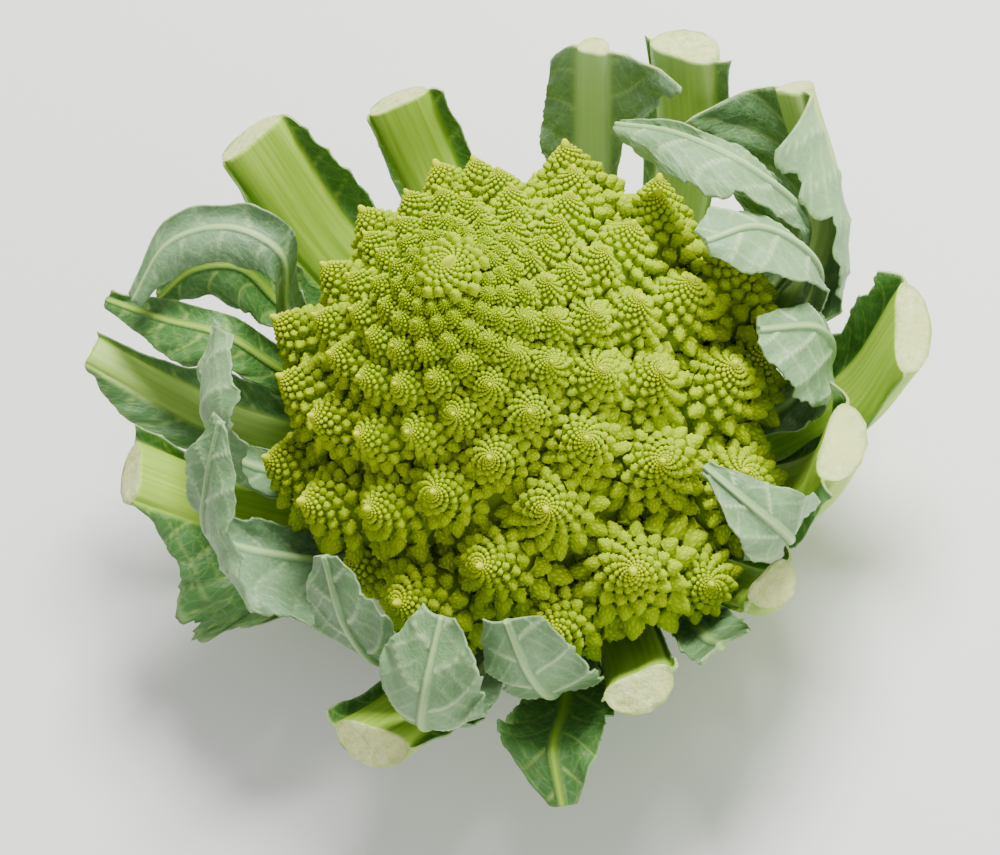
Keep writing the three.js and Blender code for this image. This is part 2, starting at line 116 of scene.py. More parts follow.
def ring_at(angles, radius, level):
    """Points round the upright axis. radius and level are single values or one for each angle."""
    return np.stack([radius * np.cos(angles), radius * np.sin(angles), level + 0 * angles], -1)


def even_angles(around):
    return np.arange(around) * FULL_TURN / around


def closed_tube(rows, around):
    """Triangles of a tube of rings, each above the one before it, with its ends drawn to two more points."""
    faces = []
    for row in range(rows - 1):
        for i in range(around):
            a, b = row * around + i, row * around + (i + 1) % around
            faces += [(a, b, b + around), (a, b + around, a + around)]
    last = (rows - 1) * around
    for i in range(around):
        j = (i + 1) % around
        faces += [(rows * around, j, i), (rows * around + 1, last + i, last + j)]
    return np.array(faces)


def dome_point(s, angle):
    """Where floret tips stand. s is above 1 under the rim."""
    s, angle = np.broadcast_arrays(s, angle)
    under = np.maximum(0, s - 1)
    bulge = BULGE * s**4 * np.maximum(0, np.cos(angle - BULGE_ANGLE)) ** 8
    reach = RIM_RADIUS * (np.minimum(s, 1) - UNDER_RIM_DRAWN_IN * under + bulge)
    rise = np.where(under > 0, -UNDER_RIM_DROP * under, 1 - s**DOME_POWER)
    point = ring(angle) * reach[..., None]
    point[..., 2] = RIM_HEIGHT + DOME_HEIGHT * rise
    return point


def floret_axis(s, angle):
    s, angle = np.broadcast_arrays(s, angle)
    lean = FLORET_TILT * np.minimum(1, s / FULL_TILT_FROM) + UNDER_RIM_LEAN * np.maximum(0, s - 1)
    axis = ring(angle) * lean[..., None]
    axis[..., 1] += BACKWARD_LEAN * s
    axis[..., 2] = 1
    return unit(axis)


def cross_frame(axis):
    """Two unit vectors across each axis."""
    helper = np.where(np.abs(axis[..., 2:3]) < 0.95, [[0.0, 0.0, 1.0]], [[1.0, 0.0, 0.0]])
    x = unit(np.cross(helper, axis))
    return x, np.cross(axis, x)


def mesh_object(name, points, faces, attributes, materials, material_index=None):
    """A smooth mesh object from points in mm, with triangles or quads and with attributes on its points."""
    mesh = bpy.data.meshes.new(name)
    points = np.asarray(points, np.float32)
    faces = np.asarray(faces, np.int32)
    corners = faces.shape[1]
    mesh.vertices.add(len(points))
    mesh.vertices.foreach_set("co", (points * MM).ravel())
    mesh.loops.add(faces.size)
    mesh.loops.foreach_set("vertex_index", faces.ravel())
    mesh.polygons.add(len(faces))
    mesh.polygons.foreach_set("loop_start", np.arange(0, faces.size, corners, dtype=np.int32))
    mesh.update(calc_edges=True)
    mesh.validate()
    for key, values in attributes.items():
        values = np.asarray(values, np.float32)
        kind, field = ("FLOAT_VECTOR", "vector") if values.ndim == 2 else ("FLOAT", "value")
        mesh.attributes.new(key, kind, "POINT").data.foreach_set(field, values.ravel())
    for material in materials:
        mesh.materials.append(material)
    if material_index is not None:
        mesh.polygons.foreach_set("material_index", np.asarray(material_index, np.int32))
    mesh.polygons.foreach_set("use_smooth", np.full(len(faces), True))
    piece = bpy.data.objects.new(name, mesh)
    bpy.context.scene.collection.objects.link(piece)
    return piece


# Materials

class Nodes:
    """A material, and short ways to make the nodes that drive its shader."""

    def __init__(self, name, specular, roughness=0.5, subsurface=0.0):
        self.material = bpy.data.materials.new(name)
        self.material.use_nodes = True
        self.tree = self.material.node_tree
        self.shader = self.tree.nodes["Principled BSDF"].inputs
        self.shader["Roughness"].default_value = roughness
        self.shader["Specular IOR Level"].default_value = specular
        self.shader["Subsurface Weight"].default_value = subsurface
        self.shader["Subsurface Radius"].default_value = (1.0, 0.9, 0.3)
        self.shader["Subsurface Scale"].default_value = 1.5 * MM

    def plug(self, value, place):
        """Links value to an input if it is a socket, and else sets it there."""
        if isinstance(value, bpy.types.NodeSocket):
            self.tree.links.new(value, place)
        else:
            place.default_value = value

    def node(self, kind, **settings):
        """A new node. A setting is for the input with that name, or else a property of the node."""
        made = self.tree.nodes.new("ShaderNode" + kind)
        for key, value in settings.items():
            if key in made.inputs:
                self.plug(value, made.inputs[key])
            else:
                setattr(made, key, value)
        return made

    def attribute(self, name, output="Fac"):
        return self.node("Attribute", attribute_name=name).outputs[output]

    def place(self):
        return self.node("TexCoord").outputs["Object"]

    def noise(self, place, scale, detail, roughness=0.55, output="Fac"):
        made = self.node("TexNoise", Vector=place, Scale=scale, Detail=detail, Roughness=roughness)
        return made.outputs[output]

    def mix(self, factor, first, second):
        """A mix of two colours, each a socket or three numbers."""
        made = self.node("Mix", data_type="RGBA")
        self.plug(factor, made.inputs[0])
        for colour, place in ((first, made.inputs[6]), (second, made.inputs[7])):
            self.plug((*colour, 1) if isinstance(colour, tuple) else colour, place)
        return made.outputs[2]

    def result(self, operation, first, second):
        made = self.node("Math", operation=operation)
        self.plug(first, made.inputs[0])
        self.plug(second, made.inputs[1])
        return made.outputs[0]

    def times(self, value, amount):
        return self.result("MULTIPLY", value, amount)

    def ramp(self, value, low, high):
        """0 where value is low, 1 where it is high, straight between."""
        return self.node("MapRange", Value=value, **{"From Min": low, "From Max": high}).outputs["Result"]

    def finish(self, colour, rough=None, bumps=()):
        """Drives the shader. rough is (socket, least, spread), a bump (socket, strength, distance in mm)."""
        self.plug(colour, self.shader["Base Color"])
        if rough:
            texture, least, spread = rough
            self.plug(self.result("ADD", self.times(texture, spread), least), self.shader["Roughness"])
        last = None
        for height, strength, distance in bumps:
            made = self.node("Bump", Height=height, Strength=strength, Distance=distance * MM)
            if last:
                self.plug(last, made.inputs["Normal"])
            last = made.outputs["Normal"]
            self.plug(last, self.shader["Normal"])
        return self.material


# Painted shade: the first colour is the dark of the hollows between grains and at the feet of bumps.
PAINTED_HOLLOW_SHADE = (0.22, 0.34, 0.0)
CURD_GRAINS = (0.6, 0.74, 0.0)
CURD_GREENER = (0.4, 0.58, 0.0)
CURD_TIPS = (0.82, 0.86, 0.01)


def curd_material():
    """Its attributes: the shade value, 1 on grains and bump tips and 0 in the hollows between them, where
    shade is painted into the colour, and top, 1 at the tip of a floret.
    """
    make = Nodes("curd_tissue", specular=0.08)
    broad = make.noise(make.place(), scale=28.0, detail=3.0)
    fine = make.noise(make.place(), scale=1400.0, detail=2.0)
    # Painted shade: the hollows between grains and the feet of bumps are darkened towards the shade colour.
    colour = make.mix(make.attribute("unshaded"), PAINTED_HOLLOW_SHADE, CURD_GRAINS)
    colour = make.mix(make.times(make.ramp(broad, 0.38, 0.68), 0.5), colour, CURD_GREENER)
    colour = make.mix(make.times(make.attribute("top"), 0.45), colour, CURD_TIPS)
    return make.finish(colour, rough=(fine, 0.5, 0.25), bumps=[(fine, 0.35, 0.12)])


# A leaf's faces: the colours of its dark and light blotches and of its veins, and how strong the veins are
UNDER_FACE = ((0.085, 0.19, 0.065), (0.23, 0.4, 0.18), (0.5, 0.68, 0.34), 0.85)
DARK_INNER_FACE = ((0.03, 0.11, 0.02), (0.09, 0.25, 0.045), (0.34, 0.52, 0.1), 0.8)
PALE_INNER_FACE = ((0.08, 0.17, 0.07), (0.21, 0.35, 0.19), (0.4, 0.56, 0.3), 0.7)
FINE_VEINS = (0.42, 0.6, 0.28)
MARGIN = (0.4, 0.5, 0.24)
STEM_STREAKS = ((0.2, 0.38, 0.012), (0.42, 0.62, 0.07))
PALE_STEM = (0.42, 0.6, 0.3)
NET_SCALE = 0.3  # cells of the net of fine veins in a mm
NET_WANDER = (5, 5, 5)  # how far in mm the net is pulled out of shape
NET_LINE = 0.12  # the width of its lines, to a cell


def net_cells(make, run):
    """0 on the net of fine veins between the larger ones, 1 in its cells."""
    wander = make.noise(run, scale=0.12, detail=2.0, roughness=0.5, output="Color")
    bent = make.node("VectorMath", operation="MULTIPLY_ADD")
    for value, place in zip((wander, NET_WANDER, run), bent.inputs):
        make.plug(value, place)
    net = make.node("TexVoronoi", feature="DISTANCE_TO_EDGE", Scale=NET_SCALE, Vector=bent.outputs["Vector"])
    return make.ramp(net.outputs["Distance"], 0.0, NET_LINE)


def blade_colour(make, cells):
    blotches = make.noise(make.place(), scale=35.0, detail=4.0)
    marked = make.ramp(blotches, 0.3, 0.7)
    vein = make.attribute("vein")

    def face(factor, dark, light, vein_colour, strength):
        return make.mix(make.times(vein, strength), make.mix(factor, dark, light), vein_colour)

    inner = face(blotches, *DARK_INNER_FACE)
    inner = make.mix(make.attribute("pale"), inner, face(marked, *PALE_INNER_FACE))
    colour = make.mix(make.attribute("upper"), face(marked, *UNDER_FACE), inner)
    colour = make.mix(make.times(make.result("SUBTRACT", 1.0, cells), 0.12), colour, FINE_VEINS)
    return make.mix(make.times(make.attribute("edge"), 0.4), colour, MARGIN)


def leaf_material():
    """Blade and rib. Its attributes: upper 1 on the inner face, vein and rib masks, edge at the margin,
    pale for leaves whose inner face is pale too, and run, the place along and across the leaf in mm."""
    make = Nodes("leaf", specular=0.4, subsurface=0.06)
    run = make.attribute("run", "Vector")
    rib = make.attribute("rib")
    off_rib = make.result("SUBTRACT", 1.0, rib)
    cells = net_cells(make, run)
    drawn_out = make.node("Mapping", Vector=run, Scale=(0.02, 0.7, 0.7)).outputs["Vector"]
    streaks = make.noise(drawn_out, scale=1.0, detail=4.0, roughness=0.5)
    stem = make.mix(make.ramp(streaks, 0.25, 0.75), *STEM_STREAKS)
    stem = make.mix(make.times(make.attribute("pale"), 0.8), stem, PALE_STEM)
    speckle = make.noise(make.place(), scale=900.0, detail=3.0)
    crinkles = make.noise(run, scale=0.22, detail=4.0, roughness=0.6)
    bumps = [(make.times(cells, off_rib), 0.25, 0.2), (speckle, 0.2, 0.1),
             (make.times(crinkles, off_rib), 0.5, 1.6), (make.times(streaks, rib), 0.2, 0.3)]
    colour = make.mix(rib, blade_colour(make, cells), stem)
    return make.finish(colour, rough=(speckle, 0.38, 0.25), bumps=bumps)


FLESH_FIBRES = ((0.42, 0.54, 0.12), (0.86, 0.9, 0.45))
FLESH_PATCHES = (0.66, 0.74, 0.24)
FLESH_AT_SKIN = (0.36, 0.5, 0.14)


def cut_material():
    """The sliced end of a rib: pale wet flesh with fibres, darker where its attribute edge is 1."""
    make = Nodes("cut_face", specular=0.5, roughness=0.42, subsurface=0.15)
    fibres = make.noise(make.place(), scale=420.0, detail=5.0, roughness=0.7)
    broad = make.noise(make.place(), scale=90.0, detail=3.0)
    colour = make.mix(make.ramp(fibres, 0.3, 0.7), *FLESH_FIBRES)
    colour = make.mix(make.ramp(broad, 0.4, 0.7), colour, FLESH_PATCHES)
    colour = make.mix(make.times(make.attribute("edge"), 0.8), colour, FLESH_AT_SKIN)
    return make.finish(colour, bumps=[(fibres, 1.0, 0.9), (broad, 0.5, 1.2)])


CURD = curd_material()
LEAF = leaf_material()
CUT = cut_material()


# The curd

def hull_triangles(points):
    """Triangles of the convex hull of points on a sphere, counterclockwise from outside."""
    shell = bmesh.new()
    corners = [shell.verts.new(p) for p in points]
    shell.verts.index_update()
    bmesh.ops.convex_hull(shell, input=corners)
    found = []
    for face in shell.faces:
        a, b, c = (v.index for v in face.verts)
        outward = np.dot(np.cross(points[b] - points[a], points[c] - points[a]), points[a]) > 0
        found.append((a, b, c) if outward else (a, c, b))
    shell.free()
    return found


def bumpy_body(count, growth, height, power, rise):
    """A closed body of unit radius along +Z, covered in grains that spiral to its tip. Each grain is a
    pyramid between the low points of the triangles round it. Returns points, triangles and a shade value for
    each point: 1 on the grains and 0 between them, where shade is painted."""
    start = BUMP_START
    widest = math.radians(125)  # how far down the sphere that gives the triangles its points reach
    shares = start * np.exp(-growth * np.arange(count))
    angles = DIVERGENCE * np.arange(count)
    polar = shares / start * widest
    sphere = ring(angles) * np.sin(polar)[:, None] + [0, 0, 1] * np.cos(polar)[:, None]
    sphere = np.vstack([sphere, [0, 0, 1], [0, 0, -1]])
    low = ring(angles) * np.minimum(shares, 1)[:, None]
    low[:, 2] = height * (1 - shares**power)
    out = ring(angles) * 0.75 + [0, 0, 0.66]
    high = low + out * (rise * np.minimum(shares, 1))[:, None]
    ends = np.array([[0, 0, height * 1.04], [0, 0, -0.5]])
    low = np.vstack([low, ends])
    points = list(np.vstack([high, ends]))
    bottom = count + 1
    unshaded = [1.0] * bottom + [0.0]
    faces = hull_triangles(sphere)
    middle = {}
    owner = {}  # the triangle that each directed edge belongs to
    for number, (a, b, c) in enumerate(faces):
        for edge in ((a, b), (b, c), (c, a)):
            owner[edge] = number
        if bottom not in (a, b, c):
            middle[number] = len(points)
            points.append(low[[a, b, c]].mean(0))
            unshaded.append(0.0)
    triangles = []
    for number, (a, b, c) in enumerate(faces):
        if number not in middle:
            triangles.append((a, b, c))
            continue
        for first, second in ((a, b), (b, c), (c, a)):
            other = middle.get(owner[(second, first)])
            here = middle[number]
            triangles.append((first, second, here) if other is None else (first, other, here))
    return np.array(points), np.array(triangles), np.array(unshaded)


def round_cone(around, rows, height, power):
    """A smooth cone of unit radius whose closed foot draws in. A higher power makes it rounder. Its shade
    values fall from 1 at the tip to 0 at the foot, where shade is painted.
    """
    angles = even_angles(around)
    rings, unshaded = [], [1.0]
    for share in np.linspace(0, 1, rows + 1)[1:]:
        rings.append(ring_at(angles, share, height * (1 - share**power)))
        unshaded += [1 - share] * around
    rings.append(ring_at(angles, 0.7, -0.55))
    points = np.vstack([[[0, 0, height]], *rings, [[0, 0, -0.8]]])
    unshaded += [0.0] * (around + 1)
    triangles = [(0, 1 + i, 1 + (i + 1) % around) for i in range(around)]
    for row in range(rows):
        for i in range(around):
            a, b = 1 + row * around + i, 1 + row * around + (i + 1) % around
            triangles += [(a, a + around, b + around), (a, b + around, b)]
    last = 1 + rows * around
    triangles += [(last + i, len(points) - 1, last + (i + 1) % around) for i in range(around)]
    return points, np.array(triangles), np.array(unshaded)


# Bump shapes by size: from this radius in mm upwards a bump has this many grains, or is smooth
SHAPES = [
    (2.2, bumpy_body(count=84, growth=0.034, height=1.5, power=1.7, rise=0.3)),
    (1.5, bumpy_body(count=54, growth=0.044, height=1.35, power=1.9, rise=0.3)),
    (1.0, bumpy_body(count=30, growth=0.07, height=1.15, power=2.2, rise=0.28)),
    (0.6, round_cone(around=10, rows=4, height=1.1, power=2.4)),
    (0.0, round_cone(around=8, rows=3, height=1.1, power=2.4)),
]
CORE = round_cone(around=14, rows=6, height=FLORET_SLIMNESS * 0.95, power=CONE_POWER)
KNOB = round_cone(around=12, rows=5, height=1.5, power=2.4)


def florets():
    """Every floret of the head: its number m, place s, foot, axis, radius and height."""
    m = np.arange(-UNDER_RIM_COUNT, LAST_FLORET)
    s = np.exp(-GROWTH * m)
    angle = FIRST_ANGLE + DIVERGENCE * m
    radius = FLORET_SHARE * RIM_RADIUS * np.minimum(s, 1 - UNDER_RIM_SHRINK * (s - 1))
    radius = radius * RNG.uniform(*RADIUS_SCATTER, len(m))
    height = FLORET_SLIMNESS * radius * RNG.uniform(*HEIGHT_SCATTER, len(m))
    axis = unit(floret_axis(s, angle) + RNG.normal(0, AXIS_SCATTER, (len(m), 3)))
    foot = dome_point(s, angle) - axis * height[:, None]
    return m, s, foot, axis, radius, height


def bumps_of(m, foot, axis, radius, height):
    """The bumps of one floret: points on its cone, directions, radii and places t."""
    last = max(TIP_SHARE, SMALLEST_BUMP / (BUMP_SHARE * radius))
    count = int(max(LEAST_BUMPS, math.log(BUMP_START / min(last, 0.8)) / BUMP_GROWTH))
    hand = 1 if m % 2 else -1
    t = BUMP_START * np.exp(-BUMP_GROWTH * np.arange(count))
    angle = m + hand * DIVERGENCE * np.arange(count)
    x, y = cross_frame(axis)
    out = np.cos(angle)[:, None] * x + np.sin(angle)[:, None] * y
    reach = np.minimum(t, 1)
    level = height * (1 - t**CONE_POWER)
    point = foot + out * (radius * BUMP_REACH * reach)[:, None] + axis * level[:, None]
    tilt = np.radians(lerp(BUMP_TILT, np.minimum(t, 1.1)))
    direction = out * np.sin(tilt)[:, None] + axis * np.cos(tilt)[:, None]
    size = BUMP_SHARE * radius * reach * RNG.uniform(*BUMP_SCATTER, count)
    return point, unit(direction + RNG.normal(0, BUMP_AXIS_SCATTER, (count, 3))), size, t


def hidden(point, size, own, foot, axis, radius, height):
    """Which bumps of one floret, whose number is own, lie inside another floret or under the leaves."""
    relative = point[:, None] - foot[None]
    level = np.einsum("bfk,fk->bf", relative, axis)
    spread = np.linalg.norm(relative - level[..., None] * axis[None], axis=-1)
    skin = radius[None] * (1 - np.clip(level / height[None], 0, 1)) * BUMP_REACH
    beside = (level > -FOOT_DEPTH * height[None]) & (level < height[None])
    inside = beside & (spread < skin - 0.5 * size[:, None])
    inside[:, own] = False
    return inside.any(1) | (point[:, 2] < LOWEST_BUMP)


class Heap:
    """Bodies gathered for one mesh of the curd."""

    def __init__(self):
        self.parts = []
        self.points = 0
        self.faces = 0

    def add(self, points, triangles, unshaded, top):
        self.parts.append((points, triangles + self.points, unshaded, top))
        self.points += len(points)
        self.faces += len(triangles)

    def add_cone(self, body, middle, axis, radius, across, along, top):
        """A smooth cone on a floret's axis, scaled to shares of the floret's radius."""
        local, triangles, unshaded = body
        x, y = cross_frame(axis)
        spread = across * (local[:, :1] * x + local[:, 1:2] * y)
        placed = middle + radius * (spread + along * local[:, 2:] * axis)
        self.add(placed, triangles, unshaded * top, np.full(len(local), top))

    def add_bumps(self, body, point, direction, size, t):
        """A copy of one shape at each point, turned at random about its direction."""
        local, triangles, unshaded = body
        count = len(point)
        x, y = cross_frame(direction)
        spin = RNG.uniform(0, FULL_TURN, count)[:, None]
        across = x * np.cos(spin) + y * np.sin(spin)
        other = np.cross(direction, across)
        stretch = lerp(BUMP_STRETCH, np.minimum(t, 1))
        grown = (across[:, None] * local[None, :, :1] + other[:, None] * local[None, :, 1:2]
                 + direction[:, None] * (local[None, :, 2:] * stretch[:, None, None]))
        raised = point + direction * (BUMP_LIFT * size)[:, None]
        placed = raised[:, None] + grown * size[:, None, None]
        steps = np.arange(count)[:, None, None] * len(local)
        self.add(placed.reshape(-1, 3), (triangles[None] + steps).reshape(-1, 3), np.tile(unshaded, count),
                 np.repeat(np.clip(1 - t / FADE_FROM, 0, 1), len(local)))

    def piece(self, name):
        points, triangles, unshaded, top = (np.concatenate(group) for group in zip(*self.parts))
        return mesh_object(name, points, triangles, {"unshaded": unshaded, "top": top}, [CURD])


def curd_pieces():
    """The florets, several to a mesh: a core, a knob at the tip and bumps, or for a small floret one bead."""
    m, s, foot, axis, radius, height = florets()
    heap, done = Heap(), []
    for i in range(len(m)):
        if radius[i] < SMALLEST_FLORET:
            point, direction = foot[i:i + 1] + axis[i] * BEAD_LEVEL * height[i], axis[i:i + 1]
            size, t = radius[i:i + 1] * BEAD_SIZE, np.array([BEAD_PLACE])
            keep = np.array([True])
        else:
            point, direction, size, t = bumps_of(m[i], foot[i], axis[i], radius[i], height[i])
            keep = ~hidden(point, size, i, foot, axis, radius, height)
            tip = foot[i] + axis[i] * height[i] * (1 - TIP_SHARE**CONE_POWER)
            # Painted shade: the core under the bumps is coloured all over with the dark of the hollows.
            heap.add_cone(CORE, foot[i], axis[i], radius[i], across=CORE_SHARE, along=1.0, top=0.0)
            heap.add_cone(KNOB, tip, axis[i], radius[i], across=TIP_SHARE, along=TIP_SHARE, top=1.0)
        most = math.inf
        for least, body in SHAPES:
            chosen = keep & (size >= least) & (size < most)
            most = least
            if chosen.any():
                heap.add_bumps(body, point[chosen], direction[chosen], size[chosen], t[chosen])
        if heap.faces > PIECE_FACES:
            done.append(heap.piece(f"curd_florets_{len(done) + 1}"))
            heap = Heap()
    return done + [heap.piece(f"curd_florets_{len(done) + 1}")]


def tip_piece():
    """The small curled leaflet at the very tip of the head."""
    around, rows = 14, 14
    height, widest, curl = 4.6, 3.0, np.array([2.1, -0.9])
    foot = RIM_HEIGHT + DOME_HEIGHT - 2.3
    points, unshaded = [], []
    for share in np.linspace(0, 1, rows):
        centre = np.array([*curl * share**2, foot + height * (share - 0.18 * share**3)])
        spread = widest * (1 - share) ** 0.8 + 0.12
        points.append(centre + ring(even_angles(around)) * [[spread, spread * (1 - 0.35 * share), 0]])
        # Painted shade: the curl's colour is shaded darker towards its foot.
        unshaded.append(np.full(around, 0.4 + 0.6 * share))
    end = points[-1].mean(0) + [0.1, 0, 0.15]
    points = np.vstack(points + [[[0, 0, RIM_HEIGHT + DOME_HEIGHT - 5]], [end]])
    attributes = {"unshaded": np.concatenate(unshaded + [[0.4, 1.0]]), "top": np.full(len(points), 0.5)}
    return mesh_object("curd_tip", points, closed_tube(rows, around), attributes, [CURD])


def heart_piece():
    """The thick middle of the curd, seen only between florets."""
    foot = STALK_HEIGHT + 0.4
    profile = [(0, foot), (STALK_RADIUS * 0.8, foot), (44, 46)]
    depth = FLORET_SLIMNESS * FLORET_SHARE * RIM_RADIUS
    for s in (1, 0.8, 0.6, 0.4):
        point = dome_point(s, 0.0) - floret_axis(s, 0.0) * depth * s
        profile.append((point[0], point[2]))
    profile.append((0, RIM_HEIGHT + DOME_HEIGHT * 0.8))
    around = 96
    angles = even_angles(around)
    steps = np.linspace(0, len(profile) - 1, 49)
    radii, levels = (np.interp(steps, range(len(profile)), column) for column in np.array(profile, float).T)
    points = []
    for radius, level in zip(radii[1:-1], levels[1:-1]):
        wave = 1 + 0.02 * np.sin(9 * angles + level * 0.2) + 0.015 * np.sin(23 * angles - level * 0.4)
        points.append(ring_at(angles, radius * wave, level))
    rows = len(points)
    points = np.vstack(points + [[[0, 0, levels[0]]], [[0, 0, levels[-1]]]])
    # Painted shade: the heart is coloured all over with the dark of the hollows, as if always in shade.
    blank = np.zeros(len(points))
    return mesh_object("curd_heart", points, closed_tube(rows, around), {"unshaded": blank, "top": blank}, [CURD])


# The leaves, as the solids have them

BLADE = 1.1  # the blade's thickness in the solids, from which the ribs' faces start here too
RIPPLE = 1.3
LEAST_BLADE = 1.2


class Plan(NamedTuple):
    """A leaf. Its rib and margins go through places [azimuth in degrees, distance from the axis, height]."""
    spine: list
    left: list
    right: list
    width: tuple = (5, 2)  # of the rib, at the stalk and at its end
    depth: tuple = (4, 2)
    slant: float = 0.0  # how far the left side of a cut end lies forwards, to half the width
    pale: float = 0.0  # 1 for an inner face as pale as the underside


CUT_LEAVES = [
    Plan([[52, 17, 16], [51, 56, 25], [50, 84, 56], [47.5, 99, 87]],
         [[58, 62, 32], [61, 84, 56], [56, 97, 79]],
         [[47, 62, 32], [43, 84, 60], [28, 94, 89]], (10, 9), (6, 7), pale=0.9),
    Plan([[34, 17, 8], [33, 56, 17], [33, 90, 50], [34, 107, 83]],
         [[40, 60, 20], [42, 92, 52], [39, 111, 93]],
         [[27, 60, 20], [26, 92, 52], [25, 109, 87]], (13, 21), (6, 14), pale=0.4),
    Plan([[352, 17, 16], [355, 58, 23], [3, 98, 52], [15.5, 113, 83]],
         [[3, 60, 26], [20, 88, 56], [27, 88, 80]],
         [[349, 62, 28], [346, 95, 62], [6, 94, 90]], (12, 11), (6, 9), pale=0.45),
    Plan([[330, 17, 8], [330, 56, 15], [331, 91, 42], [335, 112, 68]],
         [[338, 60, 20], [343, 92, 53], [343, 107, 75]],
         [[322, 58, 17], [322, 92, 42], [328, 109, 64]], (11, 27), (6, 11), slant=0.25),
    Plan([[312, 17, 16], [312, 56, 24], [312, 84, 45], [314, 98, 73]],
         [[318, 60, 26], [322, 89, 54], [322, 94, 77]],
         [[306, 58, 25], [300, 86, 40], [306, 101, 67]], (12, 27), (6, 12), slant=-0.2),
    Plan([[293, 17, 8], [291, 56, 15], [290, 86, 40], [289, 101, 68]],
         [[298, 60, 18], [296, 86, 42], [295, 99, 70]],
         [[286, 58, 17], [286, 88, 42], [285, 99, 66]], (11, 15), (6, 10)),
    Plan([[278, 17, 23], [278, 62, 27], [277, 90, 46], [277, 105, 66]],
         [[284, 67, 27], [283, 99, 54], [281, 111, 72]],
         [[273, 62, 29], [272, 96, 55], [273, 107, 67]], (6, 3), (5, 2), pale=0.6),
    Plan([[264, 17, 16], [263, 56, 22], [263, 85, 40], [263, 100, 61]],
         [[269, 58, 24], [269, 86, 42], [270, 98, 62]],
         [[257, 58, 22], [256, 88, 40], [258, 99, 58]], (13, 20), (6, 11)),
    Plan([[246, 17, 8], [247, 56, 14], [247, 86, 32], [247, 107, 49], [247, 120, 42]],
         [[253, 60, 17], [257, 88, 34], [254, 109, 51], [249, 120, 42]],
         [[241, 58, 17], [238, 86, 36], [238, 100, 52], [245, 119, 42]], (7, 3), (5, 2)),
    Plan([[220, 17, 16], [219, 56, 22], [220, 89, 38], [220, 109, 57]],
         [[227, 58, 22], [233, 88, 36], [228, 102, 51]],
         [[211, 58, 24], [212, 90, 42], [212, 107, 60]], (13, 23), (6, 12)),
    Plan([[170, 17, 8], [167, 56, 15], [163, 90, 40], [160, 114, 66]],
         [[174, 58, 15], [181, 96, 30], [181, 118, 38], [172, 112, 50], [166, 112, 62]],
         [[160, 58, 18], [158, 90, 42], [153, 112, 70]], (13, 20), (6, 11)),
    Plan([[146, 17, 16], [147, 56, 23], [146, 94, 44], [141, 131, 66]],
         [[153, 58, 25], [153, 92, 47], [149, 122, 56], [143, 131, 64]],
         [[142, 60, 25], [140, 94, 52], [138, 122, 64], [139, 131, 67]], (11, 9), (6, 6), pale=0.2),
    Plan([[107, 17, 8], [108, 56, 17], [108, 90, 50], [106, 112, 83]],
         [[116, 58, 20], [119, 86, 50], [112, 106, 74]],
         [[100, 60, 20], [96, 88, 56], [99, 106, 80]], (13, 21), (6, 11)),
    Plan([[88, 17, 16], [86, 56, 24], [84, 86, 52], [83.5, 100, 74]],
         [[93, 58, 26], [91, 87, 54], [89, 99, 74]],
         [[79, 58, 26], [75, 86, 52], [76, 97, 76]], (11, 18), (6, 10)),
]
